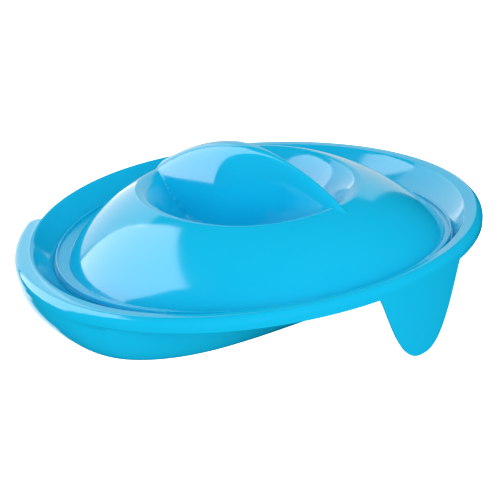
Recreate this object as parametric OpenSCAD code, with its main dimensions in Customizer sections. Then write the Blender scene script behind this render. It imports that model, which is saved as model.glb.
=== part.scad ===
// Round slipper bed pan with a lift-off domed lid.
// The pan is one moulding: a shallow bowl with an inward seat, a rolled flange
// and a tongue handle at its high end. The lid drops onto a ledge in the seat.
// Millimetres, +Z up, the origin on the floor under the middle of the pan.

/* [Rim] */
// Mean radius of the rim over the outside of the flange
rim_r = 165; // [155:1:175]
// How much wider the rim is across the pan than along it
rim_wide = 2.25; // [0:0.25:4]
// Width of the flange outside the crest of the seat
flange_w = 12.2; // [10:0.2:14]
// Height of the down-turned lip of the flange
lip_h = 8.6; // [7:0.2:10]
// Radius rolled over the outer edge of the flange
roll_r = 5.8; // [4:0.2:6]
// Half of the angle left without a flange at the low end
gap_a = 33.5; // [28:0.5:40]
// Corner radius at the cut ends of the flange
corner_r = 5; // [3:0.5:7]

/* [Slope] */
// Height of the rim over the floor at mid length
base_h = 38; // [34:1:44]
// Rise of the rim in 100 mm towards the handle
rise = 12.5; // [10:0.5:14]
// Upward curve of the rim towards both ends
curl = 2.1; // [1:0.1:3]

/* [Bowl] */
// Thickness of the moulded walls
wall = 2.5; // [2:0.1:3]
// Half length of the flat floor towards the handle
floor_front = 74; // [65:1:85]
// Half length of the flat floor towards the low end
floor_back = 146; // [138:1:148]
// Half width of the flat floor
floor_side = 150; // [144:1:152]

/* [Handle] */
// Half width of the tongue handle at its root
tongue_w = 39.7; // [34:0.1:42]
// Gap between the tip of the tongue and the floor
tongue_gap = 0.6; // [0.5:0.1:3]
// Inward lean of the tongue at its tip
tongue_lean = 0; // [0:0.5:4]

/* [Lid] */
// Mean radius of the lid over its edge
lid_r = 138; // [136:0.5:139]
// Height of the dome over the lid edge
dome_h = 52; // [40:1:56]
// Width of the flat ledge round the dome at the low end
ledge_w = 10.4; // [8:0.2:12]
// Thickness of the lid
lid_t = 2; // [1.6:0.1:2.4]
// Gap between the lid and the ledge it rests on
fit_gap = 0.3; // [0.2:0.05:0.4]

/* [Grip] */
// Height of the grip over the floor
grip_top = 100; // [90:1:104]
// Half thickness of the grip at its foot
grip_foot = 24; // [20:0.5:26]
// Depth of the finger scoops below the dome
scoop_d = 38; // [30:1:42]
// Half length of the finger scoops
scoop_l = 86; // [70:1:88]
// Half width of the finger scoops
scoop_w = 74; // [60:1:78]

/* [Hidden] */

// Small terms that shape the outlines
rim_nose = 0.65;
rim_square = 0.6;
lid_x = 5;
lid_long = 4;
lid_nose = 3.5;
lid_rise = 15;
lid_curl = 4;
lid_sink = 9.5;

// Seat, crest and lip
crest_up = 0.8;
edge_w = 2.4;
edge_h = 3;
lip_t = 2.4;
bead_h = 2;
bead_w = 1.6;
seat_w = 5;
seat_sag = 0.06;
hair = 0.06;

// The pan is moved so that its outline is centred on the origin
shift = (rim(0) - rim(180) + flange_w - edge_w) / 2;

function clamp(t) = max(0, min(1, t));
function ease(t) = let (u = clamp(t)) u * u * (3 - 2 * u);
function mix(a, b, t) = a + (b - a) * t;

function rim(a) = rim_r - rim_wide * cos(2 * a) + rim_nose * cos(3 * a)
    + rim_square * cos(4 * a);
function rim_z(x) = base_h + rise * x / 100 + curl * pow(x / 100, 2);
function lid_edge(a) = lid_r + lid_long * cos(2 * a) + lid_nose * cos(3 * a);
function lid_z(x) = base_h - lid_sink + lid_rise * x / 100
    + lid_curl * pow(x / 100, 2);

// Width of the flange: full, rounded at its cut ends, a bare edge in the gap
function past_cut(a) = (180 - gap_a - abs(a)) * rim_r * PI / 180;
function flange(a) = let (d = past_cut(a), c = corner_r - min(d, corner_r))
    d <= 0 ? edge_w : flange_w - corner_r + sqrt(pow(corner_r, 2) - c * c);
function lip(a) = past_cut(a) <= 0 ? edge_h : lip_h;

// Where the bowl wall meets the seat, out from the crest
function wall_out(a) = -4 + 15.9 * ease((abs(a) - 25) / 70)
    - 9.6 * ease(1 - past_cut(a) / 75);

// Outline of the flat floor, a squared ellipse cut short towards the handle
function floor_r(a) = let (n = cos(a) > 0 ? 2.2 : 2.4,
        l = cos(a) > 0 ? floor_front : floor_back)
    pow(pow(abs(cos(a)) / l, n) + pow(abs(sin(a)) / floor_side, n), -1 / n);

// How far the tongue hangs below the lip, and its lean
function tongue(y, h) = h * pow(1 - pow(clamp(abs(y) / tongue_w), 2.45), 1.22);

function bezier(p, q, s, e, t) = pow(1 - t, 3) * p + 3 * pow(1 - t, 2) * t * q
    + 3 * (1 - t) * t * t * s + pow(t, 3) * e;
// A wall from the seat down to the floor: upright at the sides, where it carries
// the lip, and a straight slope under the overhang at the handle (s = 1)
function bend(p, e, s, n) = let (
        q = mix([p[0], p[1], mix(p[2], e[2], 0.45)], mix(p, e, 0.35), s),
        t = [e[0], e[1] + mix(0.45 * max(p[1] - e[1], 4) + 2, 7, s), e[2]])
    [for (i = [0 : n]) bezier(p, q, t, e, i / n)];

// The seat as a line from the ledge (0) over the crest (1) and along the flange
function seat_r(a, q) = let (r0 = lid_edge(a) + 1, r1 = rim(a) - flange_w)
    mix(r0, r1, q);
function seat_c(q) = lid_x * (1 - min(q, 1));
function ledge_z(a) = lid_z(lid_x + lid_edge(a) * cos(a)) - bead_h - lid_t - fit_gap;
function seat_top(a, q) = let (x = seat_c(q) + seat_r(a, q) * cos(a))
    q < 1
        ? mix(ledge_z(a), rim_z((rim(a) - flange_w) * cos(a)) + crest_up,
              q - seat_sag * sin(180 * q))
        : rim_z(x) + crest_up;
function seat_under(a, q) = let (
        t0 = [seat_r(a, q - 0.04) + seat_c(q - 0.04) * cos(a), seat_top(a, q - 0.04)],
        t1 = [seat_r(a, q + 0.04) + seat_c(q + 0.04) * cos(a), seat_top(a, q + 0.04)],
        n = (t1 - t0) * wall / norm(t1 - t0))
    [seat_c(q), seat_r(a, q) + n[1], seat_top(a, q) - n[0]];

// One section of the pan at angle a, walked from the bowl floor up the inside,
// over the seat, the flange and the lip, and down the outside to the floor.
// Each point is [centre, radius, height].
function section(a) = let (
        w = flange(a),
        rc = rim(a) - flange_w,
        ro = rc + w,
        le = lid_edge(a),
        z0 = ledge_z(a),
        span = rc - le - 1,
        k = min(wall_out(a), w - hair),
        open = clamp((w - lip_t - k) / 3),
        slant = ease((80 - abs(a)) / 35),
        rr = min(roll_r, w / 2 - hair),
        zo = rim_z(ro * cos(a)) + crest_up,
        zl = zo - crest_up - lip(a),
        hung = abs(a) < 20 ? tongue(ro * sin(a), zl - tongue_gap) : 0,
        zb = zl - hung,
        lean = tongue_lean * hung / base_h,
        ri = max(ro - lip_t, rc + k + hair / 2),
        qi = 1 + (ri - rc) / span,
        qw = mix(1 + k / span, 0.2, slant),
        qa = 1 + (k - wall * 1.2) / span,
        roof = [0, rc + k, mix(zb + 0.4, seat_under(a, 1.2)[2], open)],
        join = [lid_x, le + 1 + wall * 0.6, z0 - wall * 1.5],
        top = mix(roof, join, slant),
        hollow = [0, rc + k - wall, seat_under(a, max(qa, 0.9))[2] - 1.5],
        inlet = [lid_x, le - 1.5, z0 - wall * 1.2],
        low = mix(hollow, inlet, slant),
        tip = [lid_x, le - seat_w, z0 - wall],
        inner = bend(low, [0, floor_r(a) - wall, wall], slant, 8),
        outer = bend(top, [0, floor_r(a), 0], slant, 8))
    concat(
        [for (i = [8 : -1 : 0]) inner[i]],
        [for (i = [3 : -1 : 0]) mix(i == 0 ? [lid_x, le + 1 + wall * 0.4, z0 - wall]
            : seat_under(a, max(qa, 0.9) * i / 3), mix(tip, inlet, (i + 1) / 5), slant)],
        [tip, [lid_x, le - seat_w - 1.2, z0 - wall + 0.8],
         [lid_x, le - seat_w - 1.2, z0 - 0.8], [lid_x, le - seat_w - 0.4, z0],
         [lid_x, le + 1, z0]],
        [for (q = [0.12, 0.4, 0.7, 0.93]) [seat_c(q), seat_r(a, q), seat_top(a, q)]],
        [[0, rc + 0.3, rim_z(rc * cos(a)) + crest_up - 0.15],
         [0, rc + 1.15, rim_z(rc * cos(a)) + crest_up]],
        [for (t = [0 : 22.5 : 90]) [0, ro - rr + rr * sin(t), zo - rr + rr * cos(t)]],
        [for (i = [1 : 4]) let (t = i / 4)
            [0, ro - lean * t * t, mix(zo - rr, zb + 0.6, t)]],
        [[0, ro - lean - min(0.6, (ro - ri) / 3), zb],
         [0, ri - lean + min(0.5, (ro - ri) / 3), zb]],
        [for (i = [3 : -1 : 0]) let (t = i / 3,
                zt = mix(zb + 0.2, seat_under(a, 1.2)[2] - 0.6, open) - hair)
            [0, ri - lean * t * t, mix(zt, zb + 0.6 * max(open, 0.2), t)]],
        [for (i = [2 : -1 : 1]) let (u = seat_under(a, mix(qw, max(qi, qw), i / 3)))
            [u[0], u[1], mix(zb + 0.4, u[2], open)]],
        outer
    );

// Angles of the sections: close together at the handle and at the cut ends
cut_a = 180 - gap_a;
half_a = concat([for (a = [1 : 1 : 13]) a], [for (a = [15 : 3.65 : cut_a - 4]) a],
    [for (d = [3, 1.7, 1, 0.5, 0.2, 0.02]) cut_a - d], [cut_a + 0.02],
    [for (a = [cut_a + 3 : 4 : 178]) a]);
angles = concat([0], half_a, [180],
    [for (i = [len(half_a) - 1 : -1 : 0]) -half_a[i]]);

function place(p, a) = [p[0] + p[1] * cos(a) - shift, p[1] * sin(a), p[2]];

// A closed skin round the Z axis through rings of points, one list per angle
module skin(rows, first, last) {
    n = len(rows);
    m = len(rows[0]);
    pts = concat([for (r = rows) each r], [first, last]);
    faces = concat(
        [for (i = [0 : n - 1], j = [0 : m - 2]) let (k = (i + 1) % n)
            [i * m + j, k * m + j + 1, i * m + j + 1]],
        [for (i = [0 : n - 1], j = [0 : m - 2]) let (k = (i + 1) % n)
            [i * m + j, k * m + j, k * m + j + 1]],
        [for (i = [0 : n - 1]) [n * m, ((i + 1) % n) * m, i * m]],
        [for (i = [0 : n - 1]) [n * m + 1, i * m + m - 1, ((i + 1) % n) * m + m - 1]]);
    polyhedron(pts, faces, convexity = 8);
}

module pan() {
    color("deepskyblue")
        skin([for (a = angles) [for (p = section(a)) place(p, a)]],
             [-shift, 0, wall], [-shift, 0, 0]);
}

// Lid surface: a dome, two finger scoops cut into it and the grip between them
function foot_r(a) = lid_edge(a) - mix(4, ledge_w, (1 - cos(a)) / 2);
function dome(x, y) = let (dx = x - lid_x, a = atan2(y, dx),
        f = clamp(norm([dx, y]) / foot_r(a)))
    lid_z(x) - bead_h + dome_h * (1 - 0.19 * x / 140) * pow(1 - pow(f, 2.9), 0.87)
        + pow(f, 6) * (lid_z(lid_x + lid_edge(a) * cos(a))
                       - lid_z(lid_x + foot_r(a) * cos(a)));
function scoop(x, y) = let (
        e = norm([(x + 2) / scoop_l, y / scoop_w]),
        u = clamp((1 - e) / 0.55))
    scoop_d * (1 - pow(1 - pow(u, 1.6), 2));
function grip(x, y) = let (d = x - 16, past = max(0, -84 - x),
        t = ease((x + 20) / 60),
        b = mix(grip_foot, grip_foot * 0.42, t),
        n = mix(3, 2.4, t))
    grip_top - (d < 0 ? 0.0039 : 0.0035) * d * d - 0.15 * past * past
        - 68 * pow(abs(y) / b, n);
function lid_top(x, y) = max(dome(x, y) - scoop(x, y), grip(x, y));
function lid_under(x, y, f) = let (h = 0.5, z = lid_top(x, y),
        gx = (lid_top(x + h, y) - lid_top(x - h, y)) / (2 * h),
        gy = (lid_top(x, y + h) - lid_top(x, y - h)) / (2 * h))
    z - lid_t * mix(1, min(3, sqrt(1 + gx * gx + gy * gy)), clamp((1 - f) * 20));

// A square grid laid onto the dome outline, finer next to the grip
nu = 60;
nv = 34;
function grid_u(i) = let (t = -1 + 2 * i / nu) t + 0.07 * sin(270 * t);
function grid_v(j) = let (t = -1 + 2 * j / nv) sign(t) * pow(abs(t), 1.45);
function on_dome(i, j) = let (u = grid_u(i), v = grid_v(j),
        p = [u * sqrt(1 - v * v / 2), v * sqrt(1 - u * u / 2)],
        r = norm(p), a = atan2(p[1], p[0]))
    [lid_x + r * foot_r(a) * cos(a), r * foot_r(a) * sin(a), r];

// Grid places round the border, anticlockwise
border = concat([for (i = [0 : nu - 1]) [i, 0]], [for (j = [0 : nv - 1]) [nu, j]],
    [for (i = [nu : -1 : 1]) [i, nv]], [for (j = [nv : -1 : 1]) [0, j]]);
nb = len(border);
function border_a(k) = let (p = on_dome(border[k][0], border[k][1]))
    atan2(p[1], p[0] - lid_x);

// Rings outside the dome: ledge, raised bead and back under, [inset, height]
rings = [[bead_w + 0.3, -bead_h], [bead_w - 0.1, -0.5], [bead_w - 0.5, 0],
    [0.5, 0], [0, -0.5], [0, -bead_h - lid_t + 0.5], [0.5, -bead_h - lid_t],
    [bead_w + 0.3, -bead_h - lid_t]];
function ring_pt(k, r) = let (a = border_a(k), q = lid_edge(a) - r[0],
        x = lid_x + q * cos(a))
    [x - shift, q * sin(a), lid_z(lid_x + lid_edge(a) * cos(a)) + r[1]];

module lid() {
    g = (nu + 1) * (nv + 1);
    nr = len(rings);
    top = [for (i = [0 : nu], j = [0 : nv]) let (p = on_dome(i, j))
        [p[0] - shift, p[1], lid_top(p[0], p[1])]];
    low = [for (i = [0 : nu], j = [0 : nv]) let (p = on_dome(i, j))
        [p[0] - shift, p[1], lid_under(p[0], p[1], p[2])]];
    ring = [for (r = rings, k = [0 : nb - 1]) ring_pt(k, r)];
    function at(i, j) = i * (nv + 1) + j;
    function rim_at(r, k) = r < 0 ? at(border[k][0], border[k][1])
        : r >= nr ? g + at(border[k][0], border[k][1])
        : 2 * g + r * nb + k;
    faces = concat(
        [for (i = [0 : nu - 1], j = [0 : nv - 1]) [at(i, j), at(i + 1, j + 1), at(i + 1, j)]],
        [for (i = [0 : nu - 1], j = [0 : nv - 1]) [at(i, j), at(i, j + 1), at(i + 1, j + 1)]],
        [for (i = [0 : nu - 1], j = [0 : nv - 1])
            [g + at(i, j), g + at(i + 1, j), g + at(i + 1, j + 1)]],
        [for (i = [0 : nu - 1], j = [0 : nv - 1])
            [g + at(i, j), g + at(i + 1, j + 1), g + at(i, j + 1)]],
        [for (r = [-1 : nr - 1], k = [0 : nb - 1]) let (l = (k + 1) % nb)
            [rim_at(r, k), rim_at(r, l), rim_at(r + 1, l)]],
        [for (r = [-1 : nr - 1], k = [0 : nb - 1]) let (l = (k + 1) % nb)
            [rim_at(r, k), rim_at(r + 1, l), rim_at(r + 1, k)]]);
    color("skyblue") polyhedron(concat(top, low, ring), faces, convexity = 8);
}

pan();
lid();
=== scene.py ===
"""Round slipper bed pan with a lift-off domed lid: shapes, finishes, stage and camera."""

import math

import bpy
import numpy as np
from bpy.props import FloatProperty, PointerProperty, StringProperty
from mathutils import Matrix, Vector


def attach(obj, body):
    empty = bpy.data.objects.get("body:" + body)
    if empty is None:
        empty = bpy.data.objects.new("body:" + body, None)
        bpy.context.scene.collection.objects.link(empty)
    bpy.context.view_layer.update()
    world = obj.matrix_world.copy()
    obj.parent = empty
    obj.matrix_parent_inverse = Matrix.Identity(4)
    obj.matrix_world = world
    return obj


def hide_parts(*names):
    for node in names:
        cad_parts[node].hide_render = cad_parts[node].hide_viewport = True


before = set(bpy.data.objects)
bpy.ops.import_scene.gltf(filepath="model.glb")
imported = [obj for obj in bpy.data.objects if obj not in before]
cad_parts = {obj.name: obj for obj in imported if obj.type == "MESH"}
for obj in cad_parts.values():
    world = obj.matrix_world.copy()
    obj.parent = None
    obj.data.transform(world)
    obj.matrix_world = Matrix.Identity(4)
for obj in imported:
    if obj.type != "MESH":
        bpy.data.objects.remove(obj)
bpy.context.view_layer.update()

bl_info = {
    "name": "Bed pan with domed lid",
    "version": (1, 0, 0),
    "blender": (4, 5, 0),
    "location": "View3D > Sidebar > Bed pan",
    "description": "Builds the pan, its lid and a plain studio around the packed model",
    "category": "Add Mesh",
}

MM = 0.001
CAMERA_TARGET = (0.02316, -0.02751, 0.038)

# ---------------------------------------------------------------- outlines

# Small terms of the outlines, in millimetres
RIM_NOSE, RIM_SQUARE = 0.65, 0.6
LID_X, LID_LONG, LID_NOSE = 5.0, 4.0, 3.5
LID_RISE, LID_CURL, LID_SINK = 15.0, 4.0, 9.5
CREST_UP, EDGE_W, EDGE_H, LIP_T = 0.8, 2.4, 3.0, 2.4
BEAD_H, BEAD_W, SEAT_W, SEAT_SAG = 2.0, 1.6, 5.0, 0.06
HAIR = 0.06
# Degrees from the handle over which the wall's slope turns upright
SLANT_END, SLANT_TURN = 80.0, 35.0
WALL_STEPS = 12
# Where the bowl wall meets the seat: in from the crest at the handle, out at the sides,
# and in again at the low end
WALL_IN, WALL_SIDE, WALL_LOW = 4.0, 15.9, 9.6
# Powers of the floor's squared ellipse, and of the tongue's outline
FLOOR_POW_HANDLE, FLOOR_POW_LOW = 2.2, 2.4
TONGUE_POW, TONGUE_TIP_POW, TONGUE_HALF_ANGLE = 2.45, 1.22, 20.0
# The dome's fall towards the handle, and the powers of its profile
DOME_FALL, DOME_HALF, DOME_POW, DOME_ROUND = 0.19, 140.0, 2.9, 0.87
SCOOP_X, SCOOP_RIM, SCOOP_POW = 2.0, 0.55, 1.6
# The grip: its middle, its arch towards each end, and the flare of its foot
GRIP_X, GRIP_ARCH_LOW, GRIP_ARCH_HANDLE, GRIP_DROP = 16.0, 0.0039, 0.0035, 68.0
GRIP_LOW_END, GRIP_END_FALL, GRIP_SLIM = 84.0, 0.15, 0.42


def clamp(t):
    return np.clip(t, 0.0, 1.0)


def ease(t):
    u = clamp(t)
    return u * u * (3 - 2 * u)


def mix(a, b, t):
    return a + (b - a) * t


def cos(a):
    return np.cos(np.radians(a))


def sin(a):
    return np.sin(np.radians(a))


class Outline:
    """The curves that the pan and the lid share. Angles in degrees, lengths in mm."""

    def __init__(self, sizes):
        self.s = sizes

    def rim(self, a):
        """Radius over the full flange."""
        s = self.s
        return (s["rim_r"] - s["rim_wide"] * cos(2 * a) + RIM_NOSE * cos(3 * a)
                + RIM_SQUARE * cos(4 * a))

    def rim_z(self, x):
        """Height of the rim over the floor."""
        s = self.s
        return s["base_h"] + s["rise"] * x / 100 + s["curl"] * (x / 100) ** 2

    def lid_edge(self, a):
        """Radius of the lid, measured from its own centre."""
        return self.s["lid_r"] + LID_LONG * cos(2 * a) + LID_NOSE * cos(3 * a)

    def lid_z(self, x):
        """Height of the lid's edge over the floor."""
        return self.s["base_h"] - LID_SINK + LID_RISE * x / 100 + LID_CURL * (x / 100) ** 2

    def ledge_z(self, a):
        """Height of the ledge that the lid rests on."""
        s = self.s
        edge_x = LID_X + self.lid_edge(a) * cos(a)
        return self.lid_z(edge_x) - BEAD_H - s["lid_t"] - s["fit_gap"]

    def shift(self):
        """The move that centres the pan's outline on the origin."""
        return (self.rim(0.0) - self.rim(180.0) + self.s["flange_w"] - EDGE_W) / 2

    def past_cut(self, a):
        """Distance along the rim from the flange's cut end, negative in the gap."""
        s = self.s
        return (180 - s["gap_a"] - np.abs(a)) * math.radians(s["rim_r"])

    def flange(self, a):
        """Width of the flange: full, rounded at its cut ends, a bare edge in the gap."""
        s = self.s
        d = self.past_cut(a)
        c = s["corner_r"] - np.clip(d, 0, s["corner_r"])
        full = s["flange_w"] - s["corner_r"] + np.sqrt(s["corner_r"] ** 2 - c * c)
        return np.where(d <= 0, EDGE_W, full)

    def wall_out(self, a):
        """Where the bowl wall meets the seat, out from the crest."""
        return (-WALL_IN + WALL_SIDE * ease((np.abs(a) - 25) / 70)
                - WALL_LOW * ease(1 - self.past_cut(a) / 75))

    def floor_r(self, a):
        """Outline of the flat floor, cut short towards the handle."""
        s = self.s
        n = np.where(cos(a) > 0, FLOOR_POW_HANDLE, FLOOR_POW_LOW)
        length = np.where(cos(a) > 0, s["floor_front"], s["floor_back"])
        return ((np.abs(cos(a)) / length) ** n
                + (np.abs(sin(a)) / s["floor_side"]) ** n) ** (-1 / n)


# ---------------------------------------------------------------- the pan


def point(c, r, z):
    """Centre, radius and height of one point of a section, for every angle at once."""
    return np.stack(np.broadcast_arrays(*(np.asarray(v, float) for v in (c, r, z))), -1)


def blend(p, q, t):
    """Points part of the way from p to q."""
    t = np.asarray(t)
    return p + (q - p) * (t[..., None] if t.ndim else t)


def wall_curve(p, e, s, n):
    """The bowl wall: upright where it carries the lip, a plain slope at the handle."""
    q = blend(point(p[:, 0], p[:, 1], mix(p[:, 2], e[:, 2], 0.45)), blend(p, e, 0.35), s)
    foot = mix(0.45 * np.maximum(p[:, 1] - e[:, 1], 4) + 2, 7, s)
    t = point(e[:, 0], e[:, 1] + foot, e[:, 2])
    out = []
    for i in range(n + 1):
        u = i / n
        out.append((1 - u) ** 3 * p + 3 * (1 - u) ** 2 * u * q
                   + 3 * (1 - u) * u * u * t + u ** 3 * e)
    return out


def pan_section(o, a):
    """Every section of the pan, from the bowl floor over the rim to the underside."""
    s = o.s
    wall = s["wall"]
    w = o.flange(a)
    rc = o.rim(a) - s["flange_w"]
    ro = rc + w
    le = o.lid_edge(a)
    z0 = o.ledge_z(a)
    span = rc - le - 1
    k = np.minimum(o.wall_out(a), w - HAIR)
    opened = clamp((w - LIP_T - k) / 3)
    slant = ease((SLANT_END - np.abs(a)) / SLANT_TURN)
    rr = np.minimum(s["roll_r"], w / 2 - HAIR)
    zo = o.rim_z(ro * cos(a)) + CREST_UP
    zl = zo - CREST_UP - np.where(o.past_cut(a) <= 0, EDGE_H, s["lip_h"])
    ty = clamp(np.abs(ro * sin(a)) / s["tongue_w"])
    tongue = (zl - s["tongue_gap"]) * (1 - ty ** TONGUE_POW) ** TONGUE_TIP_POW
    hung = np.where(np.abs(a) < TONGUE_HALF_ANGLE, tongue, 0.0)
    zb = zl - hung
    lean = s["tongue_lean"] * hung / s["base_h"]
    ri = np.maximum(ro - LIP_T, rc + k + HAIR / 2)

    def seat_r(q):
        return mix(le + 1, rc, q)

    def seat_c(q):
        return LID_X * (1 - np.minimum(q, 1.0))

    def seat_top(q):
        x = seat_c(q) + seat_r(q) * cos(a)
        crest = o.rim_z(rc * cos(a)) + CREST_UP
        slope = mix(z0, crest, q - SEAT_SAG * sin(180 * np.minimum(q, 1.0)))
        return np.where(q < 1, slope, o.rim_z(x) + CREST_UP)

    def seat_under(q):
        h = 0.04
        dx = (seat_r(q + h) + seat_c(q + h) * cos(a)) - (seat_r(q - h) + seat_c(q - h) * cos(a))
        dz = seat_top(q + h) - seat_top(q - h)
        n = wall / np.hypot(dx, dz)
        return point(seat_c(q), seat_r(q) + n * dz, seat_top(q) - n * dx)

    one = np.ones_like(a)
    qi = 1 + (ri - rc) / span
    qw = mix(1 + k / span, 0.2, slant)
    qa = np.maximum(1 + (k - wall * 1.2) / span, 0.9)
    flange_under = seat_under(1.2 * one)[:, 2]
    roof = point(0, rc + k, mix(zb + 0.4, flange_under, opened))
    join = point(LID_X, le + 1 + wall * 0.6, z0 - wall * 1.5)
    hollow = point(0, rc + k - wall, seat_under(qa)[:, 2] - 1.5)
    inlet = point(LID_X, le - 1.5, z0 - wall * 1.2)
    tip = point(LID_X, le - SEAT_W, z0 - wall)
    floor = o.floor_r(a)
    inner = wall_curve(blend(hollow, inlet, slant), point(0, floor - wall, wall), slant, WALL_STEPS)
    outer = wall_curve(blend(roof, join, slant), point(0, floor, 0), slant, WALL_STEPS)

    p = list(reversed(inner))
    corner = point(LID_X, le + 1 + wall * 0.4, z0 - wall)
    for i in (3, 2, 1, 0):
        under = corner if i == 0 else seat_under(qa * i / 3)
        p.append(blend(under, blend(tip, inlet, (i + 1) / 5), slant))
    p += [tip, point(LID_X, le - SEAT_W - 1.2, z0 - wall + 0.8),
          point(LID_X, le - SEAT_W - 1.2, z0 - 0.8), point(LID_X, le - SEAT_W - 0.4, z0),
          point(LID_X, le + 0.4, z0), point(LID_X, le + 1, z0)]
    for q in (0.06, 0.2, 0.4, 0.6, 0.8, 0.93):
        p.append(point(seat_c(q), seat_r(q), seat_top(q * one)))
    zc = o.rim_z(rc * cos(a)) + CREST_UP
    p += [point(0, rc + 0.3, zc - 0.15), point(0, rc + 1.15, zc)]
    for t in (0, 15, 30, 45, 60, 75, 90):
        p.append(point(0, ro - rr + rr * sin(t), zo - rr + rr * cos(t)))
    for i in range(1, 7):
        t = i / 6
        p.append(point(0, ro - lean * t * t, mix(zo - rr, zb + 0.6, t)))
    start, end = p[-1], outer[1]
    rounding = (ro - ri) / 3
    groove = [point(0, ro - lean - np.minimum(0.6, rounding), zb),
              point(0, ri - lean + np.minimum(0.5, rounding), zb)]
    top = mix(zb + 0.2, flange_under - 0.6, opened) - HAIR
    for i in range(6, -1, -1):
        t = i / 6
        groove.append(point(0, ri - lean * t * t, mix(top, zb + 0.6 * np.maximum(opened, 0.2), t)))
    for i in (2, 1):
        u = seat_under(mix(qw, np.maximum(qi, qw), i / 3))
        groove.append(point(u[:, 0], u[:, 1], mix(zb + 0.4, u[:, 2], opened)))
    groove.append(outer[0])
    shut = clamp(1 - opened / 0.04)
    for j, g in enumerate(groove):
        flat = blend(start, end, (j + 1) / (len(groove) + 1))
        p.append(blend(g, flat, shut))
    p += outer[1:]
    return np.stack(p, 1)


def smooth_rows(p, times):
    """Rounds the corners of every section by cutting them, keeping both ends."""
    for _ in range(times):
        a, b = p[:, :-1], p[:, 1:]
        cut = np.stack([a * 0.75 + b * 0.25, a * 0.25 + b * 0.75], 2)
        cut = cut.reshape(len(p), -1, 3)
        p = np.concatenate([p[:, :1], cut[:, 1:-1], p[:, -1:]], 1)
    return p


def pan_angles(o):
    """Section angles: close together across the tongue and at the flange's cut ends."""
    cut = 180 - o.s["gap_a"]
    near = [3.0, 2.4, 1.9, 1.5, 1.2, 0.95, 0.75, 0.55, 0.4, 0.27, 0.16, 0.08, 0.02]
    half = (list(np.arange(0.25, 15, 0.25)) + list(np.arange(15, cut - 3.2, 0.6))
            + [cut - d for d in near] + [cut + d for d in (0.02, 0.1, 0.3)]
            + list(np.arange(cut + 0.8, 179.8, 0.8)))
    return np.array([0.0] + half + [180.0] + [-h for h in reversed(half)])


def pan_mesh(o):
    """The pan: its sections joined all round, closed by two fans in the floor."""
    a = pan_angles(o)
    p = smooth_rows(pan_section(o, a), 2)
    shift = o.shift()
    ca, sa = cos(a)[:, None], sin(a)[:, None]
    xyz = np.stack([p[..., 0] + p[..., 1] * ca - shift, p[..., 1] * sa, p[..., 2]], -1)
    n, m = xyz.shape[:2]
    i, j = np.meshgrid(np.arange(n), np.arange(m - 1), indexing="ij")
    k = (i + 1) % n
    quads = np.stack([i * m + j, k * m + j, k * m + j + 1, i * m + j + 1], -1).reshape(-1, 4)
    verts = np.concatenate([xyz.reshape(-1, 3), [[-shift, 0, o.s["wall"]], [-shift, 0, 0]]])
    ring = np.arange(n)
    after = (ring + 1) % n
    fans = [[n * m, t * m, r * m] for r, t in zip(ring, after)]
    fans += [[n * m + 1, r * m + m - 1, t * m + m - 1] for r, t in zip(ring, after)]
    return verts * MM, quads.tolist() + fans


# ---------------------------------------------------------------- the lid


def foot_r(o, a):
    """Radius of the dome's foot, inside the flat ledge of the lid."""
    return o.lid_edge(a) - mix(4, o.s["ledge_w"], (1 - cos(a)) / 2)


def dome_z(o, x, y):
    """Height of the plain dome."""
    dx = x - LID_X
    a = np.degrees(np.arctan2(y, dx))
    foot = foot_r(o, a)
    f = clamp(np.hypot(dx, y) / foot)
    edge = o.lid_z(LID_X + o.lid_edge(a) * cos(a)) - o.lid_z(LID_X + foot * cos(a))
    dome = (o.s["dome_h"] * (1 - DOME_FALL * x / DOME_HALF)
            * (1 - f ** DOME_POW) ** DOME_ROUND)
    return o.lid_z(x) - BEAD_H + dome + f ** 6 * edge


def scoop_depth(o, x, y):
    """Depth of the finger scoops below the dome."""
    s = o.s
    e = np.hypot((x + SCOOP_X) / s["scoop_l"], y / s["scoop_w"])
    u = clamp((1 - e) / SCOOP_RIM)
    return s["scoop_d"] * (1 - (1 - u ** SCOOP_POW) ** 2)


def grip_z(o, x, y):
    """Height of the grip: an arch along the lid, thinner towards the handle."""
    s = o.s
    d = x - GRIP_X
    t = ease((x + 20) / 60)
    past = np.maximum(0, -GRIP_LOW_END - x)
    b = mix(s["grip_foot"], s["grip_foot"] * GRIP_SLIM, t)
    n = mix(3.0, 2.4, t)
    arch = (s["grip_top"] - np.where(d < 0, GRIP_ARCH_LOW, GRIP_ARCH_HANDLE) * d * d
            - GRIP_END_FALL * past * past)
    return arch - GRIP_DROP * (np.abs(y) / b) ** n


def lid_top(o, x, y):
    """Height of the lid: the scooped dome, with the grip standing out of it."""
    return np.maximum(dome_z(o, x, y) - scoop_depth(o, x, y), grip_z(o, x, y))


def lid_under(o, x, y, f):
    """The lid's underside, lowered on slopes so that the wall keeps its thickness."""
    h = 0.5
    gx = (lid_top(o, x + h, y) - lid_top(o, x - h, y)) / (2 * h)
    gy = (lid_top(o, x, y + h) - lid_top(o, x, y - h)) / (2 * h)
    steep = np.minimum(3, np.sqrt(1 + gx * gx + gy * gy))
    return lid_top(o, x, y) - o.s["lid_t"] * mix(1, steep, clamp((1 - f) * 20))


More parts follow.
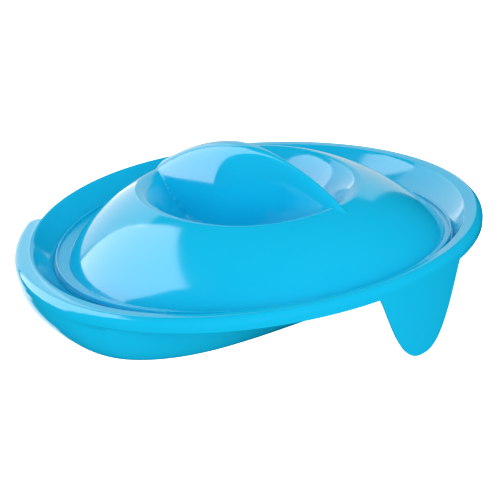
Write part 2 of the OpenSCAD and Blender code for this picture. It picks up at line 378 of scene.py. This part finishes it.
def lid_mesh(o, nu, nv):
    """A square grid laid onto the dome's outline, and rings for the ledge and bead."""
    u = np.linspace(-1, 1, nu + 1)[:, None]
    t = np.linspace(-1, 1, nv + 1)[None, :]
    v = np.sign(t) * np.abs(t) ** 1.3
    px, py = u * np.sqrt(1 - v * v / 2), v * np.sqrt(1 - u * u / 2)
    f = np.hypot(px, py)
    a = np.degrees(np.arctan2(py, px))
    r = f * foot_r(o, a)
    x, y = LID_X + r * cos(a), r * sin(a)
    shift = o.shift()
    top = np.stack([x - shift, y, lid_top(o, x, y)], -1).reshape(-1, 3)
    low = np.stack([x - shift, y, lid_under(o, x, y, f)], -1).reshape(-1, 3)

    border = ([(i, 0) for i in range(nu)] + [(nu, j) for j in range(nv)]
              + [(i, nv) for i in range(nu, 0, -1)] + [(0, j) for j in range(nv, 0, -1)])
    bi = np.array([i * (nv + 1) + j for i, j in border])
    ba = a.reshape(-1)[bi]
    edge_z = o.lid_z(LID_X + o.lid_edge(ba) * cos(ba))
    lid_t = o.s["lid_t"]
    rings = [(BEAD_W + 0.9, -BEAD_H), (BEAD_W + 0.25, -BEAD_H + 0.08), (BEAD_W, -BEAD_H + 0.4),
             (BEAD_W - 0.1, -0.5), (BEAD_W - 0.25, -0.15), (BEAD_W - 0.5, 0), (0.5, 0),
             (0.15, -0.15), (0, -0.5), (0, -BEAD_H - lid_t + 0.5),
             (0.15, -BEAD_H - lid_t + 0.15), (0.5, -BEAD_H - lid_t),
             (BEAD_W + 0.3, -BEAD_H - lid_t)]
    rows = []
    for inset, height in rings:
        q = o.lid_edge(ba) - inset
        rows.append(np.stack([LID_X + q * cos(ba) - shift, q * sin(ba), edge_z + height], -1))
    verts = np.concatenate([top, low] + rows)

    g = (nu + 1) * (nv + 1)
    nb = len(border)
    i, j = np.meshgrid(np.arange(nu), np.arange(nv), indexing="ij")
    c = i * (nv + 1) + j
    quad = np.stack([c, c + nv + 1, c + nv + 2, c + 1], -1).reshape(-1, 4)
    faces = quad.tolist() + (quad[:, ::-1] + g).tolist()
    chain = [bi] + [2 * g + k * nb + np.arange(nb) for k in range(len(rings))] + [bi + g]
    for up, down in zip(chain, chain[1:]):
        faces += np.stack([up, down, np.roll(down, -1), np.roll(up, -1)], -1).tolist()
    return verts * MM, faces


# ---------------------------------------------------------------- pieces


def new_mesh(name, verts, faces):
    """A mesh that must be sound as given."""
    mesh = bpy.data.meshes.new(name)
    mesh.from_pydata([tuple(v) for v in verts], [], faces)
    if mesh.validate():
        raise RuntimeError(f"{name} has faces that had to be repaired")
    return mesh


def add_piece(name, mesh, body, node, material):
    """Makes a mesh piece, rides it on its body and lets it stand for its CAD node."""
    mesh.name = name
    mesh.polygons.foreach_set("use_smooth", [True] * len(mesh.polygons))
    mesh.set_sharp_from_angle(angle=math.radians(40))
    mesh.materials.append(material)
    piece = bpy.data.objects.new(name, mesh)
    bpy.context.collection.objects.link(piece)
    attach(piece, body)
    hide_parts(node)
    return piece


# ---------------------------------------------------------------- materials


def hex_colour(text):
    """sRGB hex text to a linear colour with alpha."""
    out = []
    for i in (0, 2, 4):
        c = int(text.lstrip("#")[i:i + 2], 16) / 255
        out.append(c / 12.92 if c <= 0.04045 else ((c + 0.055) / 1.055) ** 2.4)
    return (*out, 1.0)


def add_node(tree, kind, settings=None, links=None):
    """Adds a node, sets its properties or sockets, and links its inputs."""
    node = tree.nodes.new(kind)
    for key, value in (settings or {}).items():
        if isinstance(key, int) or key in node.inputs:
            node.inputs[key].default_value = value
        else:
            setattr(node, key, value)
    for key, source in (links or {}).items():
        tree.links.new(source, node.inputs[key])
    return node


def polypropylene(name, colour, seed):
    """Polypropylene, injection moulded against a polished steel tool and coloured right
    through: a wet-looking gloss, faint orange peel, and slow drifts of tint where the
    melt ran."""
    mat = bpy.data.materials.new(name)
    mat.use_nodes = True
    tree = mat.node_tree
    tree.nodes.clear()
    place = add_node(tree, "ShaderNodeTexCoord").outputs["Object"]
    # Flow drift: patches about 90 mm across, a few percent lighter and darker
    drift = add_node(tree, "ShaderNodeTexNoise",
                     {"noise_dimensions": "4D", "Scale": 11.0, "Detail": 2.0, "W": seed},
                     {"Vector": place})
    base = hex_colour(colour)[:3]
    deep = tuple(c * 0.95 for c in base) + (1.0,)
    light = tuple(min(1.0, c * 1.05 + 0.004) for c in base) + (1.0,)
    tint = add_node(tree, "ShaderNodeMix", {"data_type": "RGBA", 6: deep, 7: light},
                    {0: drift.outputs["Fac"]})
    # Handling haze: gloss that varies over about 15 mm
    haze = add_node(tree, "ShaderNodeTexNoise", {"Scale": 65.0, "Detail": 3.0},
                    {"Vector": place})
    rough = add_node(tree, "ShaderNodeMapRange",
                     {"From Min": 0.3, "From Max": 0.7, "To Min": 0.085, "To Max": 0.125},
                     {"Value": haze.outputs["Fac"]})
    # Orange peel of about 2.5 mm, a few micrometres high
    peel = add_node(tree, "ShaderNodeTexNoise", {"Scale": 400.0, "Detail": 1.0},
                    {"Vector": place})
    bump = add_node(tree, "ShaderNodeBump", {"Strength": 0.035, "Distance": 0.0004},
                    {"Height": peel.outputs["Fac"]})
    skin = add_node(tree, "ShaderNodeBsdfPrincipled",
                    {"IOR": 1.49, "Specular IOR Level": 0.5, "Metallic": 0.0},
                    {"Base Color": tint.outputs[2], "Roughness": rough.outputs[0],
                     "Normal": bump.outputs[0]})
    add_node(tree, "ShaderNodeOutputMaterial", links={"Surface": skin.outputs[0]})
    return mat


def light_table():
    """White acrylic sheet of a light table, lit evenly from below: matt and almost
    shadowless, with a very faint mottle."""
    mat = bpy.data.materials.new("white_acrylic_light_table")
    mat.use_nodes = True
    tree = mat.node_tree
    tree.nodes.clear()
    place = add_node(tree, "ShaderNodeTexCoord").outputs["Object"]
    mottle = add_node(tree, "ShaderNodeTexNoise", {"Scale": 6.0, "Detail": 3.0},
                      {"Vector": place})
    tone = add_node(tree, "ShaderNodeMix",
                    {"data_type": "RGBA", 6: hex_colour("#F8FAFB"), 7: hex_colour("#FFFFFF")},
                    {0: mottle.outputs["Fac"]})
    skin = add_node(tree, "ShaderNodeBsdfPrincipled",
                    {"Roughness": 0.9, "Specular IOR Level": 0.0, "Emission Strength": 1.4},
                    {"Base Color": tone.outputs[2], "Emission Color": tone.outputs[2]})
    add_node(tree, "ShaderNodeOutputMaterial", links={"Surface": skin.outputs[0]})
    return mat


# ---------------------------------------------------------------- settings


class BedPanSizes(bpy.types.PropertyGroup):
    """Sizes of the pan and its lid."""

    rim_r: FloatProperty(name="Rim radius", description="Mean radius over the flange",
                         default=0.165, unit="LENGTH")
    rim_wide: FloatProperty(name="Rim widening", description="Extra width across the pan",
                            default=0.00225, unit="LENGTH")
    flange_w: FloatProperty(name="Flange width", description="Flange outside the crest",
                            default=0.0122, unit="LENGTH")
    lip_h: FloatProperty(name="Lip height", description="Height of the down-turned lip",
                         default=0.0086, unit="LENGTH")
    roll_r: FloatProperty(name="Roll radius", description="Radius over the flange's edge",
                          default=0.0058, unit="LENGTH")
    corner_r: FloatProperty(name="Corner radius", description="Corner at the flange's cut ends",
                            default=0.005, unit="LENGTH")
    gap_a: FloatProperty(name="Gap half angle", description="Degrees left without a flange",
                         default=33.5)
    base_h: FloatProperty(name="Rim height", description="Height of the rim at mid length",
                          default=0.038, unit="LENGTH")
    rise: FloatProperty(name="Rise", description="Rise of the rim in 100 mm",
                        default=0.0125, unit="LENGTH")
    curl: FloatProperty(name="Curl", description="Upward curve of the rim at its ends",
                        default=0.0021, unit="LENGTH")
    wall: FloatProperty(name="Wall", description="Thickness of the pan's walls",
                        default=0.0025, unit="LENGTH")
    floor_front: FloatProperty(name="Floor, handle end", description="Half length of the floor",
                               default=0.074, unit="LENGTH")
    floor_back: FloatProperty(name="Floor, low end", description="Half length of the floor",
                              default=0.146, unit="LENGTH")
    floor_side: FloatProperty(name="Floor half width", description="Half width of the floor",
                              default=0.150, unit="LENGTH")
    tongue_w: FloatProperty(name="Tongue half width", description="At the tongue's root",
                            default=0.0397, unit="LENGTH")
    tongue_gap: FloatProperty(name="Tongue gap", description="From the tongue's tip to the floor",
                              default=0.0006, unit="LENGTH")
    tongue_lean: FloatProperty(name="Tongue lean", description="Inward lean at the tip",
                               default=0.0, unit="LENGTH")
    lid_r: FloatProperty(name="Lid radius", description="Mean radius of the lid",
                         default=0.138, unit="LENGTH")
    dome_h: FloatProperty(name="Dome height", description="Dome over the lid's edge",
                          default=0.052, unit="LENGTH")
    ledge_w: FloatProperty(name="Ledge width", description="Ledge round the dome, low end",
                           default=0.0104, unit="LENGTH")
    lid_t: FloatProperty(name="Lid thickness", description="Thickness of the lid",
                         default=0.002, unit="LENGTH")
    fit_gap: FloatProperty(name="Fit gap", description="Between the lid and its ledge",
                           default=0.0003, unit="LENGTH")
    grip_top: FloatProperty(name="Grip height", description="Top of the grip over the floor",
                            default=0.100, unit="LENGTH")
    grip_foot: FloatProperty(name="Grip half thickness", description="At the grip's foot",
                             default=0.024, unit="LENGTH")
    scoop_d: FloatProperty(name="Scoop depth", description="Finger scoops below the dome",
                           default=0.038, unit="LENGTH")
    scoop_l: FloatProperty(name="Scoop half length", description="Along the grip",
                           default=0.086, unit="LENGTH")
    scoop_w: FloatProperty(name="Scoop half width", description="Across the grip",
                           default=0.074, unit="LENGTH")

    def outline(self):
        """The sizes in millimetres, as an Outline."""
        sizes = {k: getattr(self, k) / MM for k in self.__annotations__}
        sizes["gap_a"] = self.gap_a
        return Outline(sizes)


class BedPanFinish(bpy.types.PropertyGroup):
    """Colours of the mouldings."""

    pan_colour: StringProperty(name="Pan colour", description="sRGB hex of the pan",
                               default="#0ABEEC")
    lid_colour: StringProperty(name="Lid colour", description="sRGB hex of the lid",
                               default="#0ABEEC")


class BedPanCamera(bpy.types.PropertyGroup):
    """Where the camera stands."""

    azimuth: FloatProperty(name="Azimuth", description="Turn of the camera about Z",
                           default=math.radians(45.07), subtype="ANGLE")
    elevation: FloatProperty(name="Elevation", description="Height angle of the camera",
                             default=math.radians(28.0), subtype="ANGLE")
    distance: FloatProperty(name="Distance", description="From the camera to its target",
                            default=1.3, unit="LENGTH")
    lens: FloatProperty(name="Lens", description="Focal length on a 36 mm sensor",
                        default=135.98, unit="CAMERA")


# ---------------------------------------------------------------- operators


class BEDPAN_OT_pan(bpy.types.Operator):
    """Builds the pan as one smooth moulding"""

    bl_idname = "bedpan.pan"
    bl_label = "Build pan"

    def execute(self, context):
        scene = context.scene
        outline = scene.bedpan_sizes.outline()
        mesh = new_mesh("pan_skin", *pan_mesh(outline))
        mat = polypropylene("moulded_polypropylene_pan", scene.bedpan_finish.pan_colour, 1.7)
        add_piece("pan_moulding", mesh, "pan", "pan", mat)
        return {"FINISHED"}


class BEDPAN_OT_lid(bpy.types.Operator):
    """Builds the domed lid with its grip and finger scoops"""

    bl_idname = "bedpan.lid"
    bl_label = "Build lid"

    def execute(self, context):
        scene = context.scene
        mesh = new_mesh("lid_skin", *lid_mesh(scene.bedpan_sizes.outline(), 260, 240))
        mat = polypropylene("moulded_polypropylene_lid", scene.bedpan_finish.lid_colour, 5.2)
        add_piece("lid_moulding", mesh, "lid", "lid", mat)
        return {"FINISHED"}


def add_softbox(name, azimuth, elevation, distance, size, radiance, fill=False):
    """A softbox facing the middle of the table. A fill only lights the mouldings, and
    any other is only seen in their gloss. Its azimuth is measured like the camera's."""
    light = bpy.data.lights.new(name, "AREA")
    light.shape = "RECTANGLE"
    light.size, light.size_y = size
    light.energy = radiance * math.pi * size[0] * size[1]
    lamp = bpy.data.objects.new(name, light)
    a, e = math.radians(azimuth), math.radians(elevation)
    out = Vector((math.sin(a) * math.cos(e), -math.cos(a) * math.cos(e), math.sin(e)))
    lamp.location = out * distance
    lamp.rotation_euler = (-out).to_track_quat("-Z", "Y").to_euler()
    lamp.visible_diffuse = fill
    lamp.visible_glossy = not fill
    lamp.visible_camera = False
    bpy.context.collection.objects.link(lamp)
    return lamp


class BEDPAN_OT_stage(bpy.types.Operator):
    """Sets up the floor, the studio light and the camera"""

    bl_idname = "bedpan.stage"
    bl_label = "Set up stage"

    def execute(self, context):
        scene = context.scene
        half = 6.0
        corners = [(-half, -half, 0), (half, -half, 0), (half, half, 0), (-half, half, 0)]
        mesh = new_mesh("studio_floor", corners, [(0, 1, 2, 3)])
        mesh.materials.append(light_table())
        floor = bpy.data.objects.new("studio_floor", mesh)
        context.collection.objects.link(floor)
        # Light comes up through the table, so it blocks none and isn't reflected
        floor.visible_diffuse = False
        floor.visible_glossy = False
        floor.visible_shadow = False

        world = bpy.data.worlds.new("studio_air")
        world.use_nodes = True
        sky = world.node_tree.nodes["Background"]
        sky.inputs["Color"].default_value = hex_colour("#FFFFFF")
        sky.inputs["Strength"].default_value = 0.77
        world.cycles_visibility.glossy = False
        scene.world = world
        scene.view_settings.view_transform = "Standard"

        add_softbox("softbox_left", -65, 20, 1.7, (1.5, 2.0), 4.1)
        add_softbox("softbox_back_left", -105.5, -5, 1.9, (1.05, 3.2), 1.6)
        add_softbox("softbox_back", -136, 0, 1.9, (1.2, 1.9), 0.8)
        add_softbox("fill_front", 45, 30, 2.2, (1.6, 1.6), 2.3, fill=True)

        cam_set = scene.bedpan_camera
        sa, ca = math.sin(cam_set.azimuth), math.cos(cam_set.azimuth)
        se, ce = math.sin(cam_set.elevation), math.cos(cam_set.elevation)
        back = Vector((sa * ce, -ca * ce, se))
        target = Vector(CAMERA_TARGET)
        data = bpy.data.cameras.new("camera")
        data.lens = cam_set.lens
        data.sensor_width = 36.0
        camera = bpy.data.objects.new("camera", data)
        camera.location = target + back * cam_set.distance
        camera.rotation_euler = (-back).to_track_quat("-Z", "Y").to_euler()
        context.collection.objects.link(camera)
        scene.camera = camera
        return {"FINISHED"}


class BEDPAN_PT_panel(bpy.types.Panel):
    """Lists the steps that build the bed pan"""

    bl_idname = "BEDPAN_PT_panel"
    bl_label = "Bed pan"
    bl_space_type = "VIEW_3D"
    bl_region_type = "UI"
    bl_category = "Bed pan"

    def draw(self, context):
        for idname in ("bedpan.pan", "bedpan.lid", "bedpan.stage"):
            self.layout.operator(idname)
        for group in (context.scene.bedpan_sizes, context.scene.bedpan_finish,
                      context.scene.bedpan_camera):
            for key in group.__annotations__:
                self.layout.prop(group, key)


CLASSES = (BedPanSizes, BedPanFinish, BedPanCamera, BEDPAN_OT_pan, BEDPAN_OT_lid,
           BEDPAN_OT_stage, BEDPAN_PT_panel)


def register():
    for cls in CLASSES:
        bpy.utils.register_class(cls)
    bpy.types.Scene.bedpan_sizes = PointerProperty(type=BedPanSizes)
    bpy.types.Scene.bedpan_finish = PointerProperty(type=BedPanFinish)
    bpy.types.Scene.bedpan_camera = PointerProperty(type=BedPanCamera)


def unregister():
    del bpy.types.Scene.bedpan_camera
    del bpy.types.Scene.bedpan_finish
    del bpy.types.Scene.bedpan_sizes
    for cls in reversed(CLASSES):
        bpy.utils.unregister_class(cls)


def main():
    register()
    bpy.ops.bedpan.stage()
    bpy.ops.bedpan.pan()
    bpy.ops.bedpan.lid()


if __name__ == "__main__":
    main()
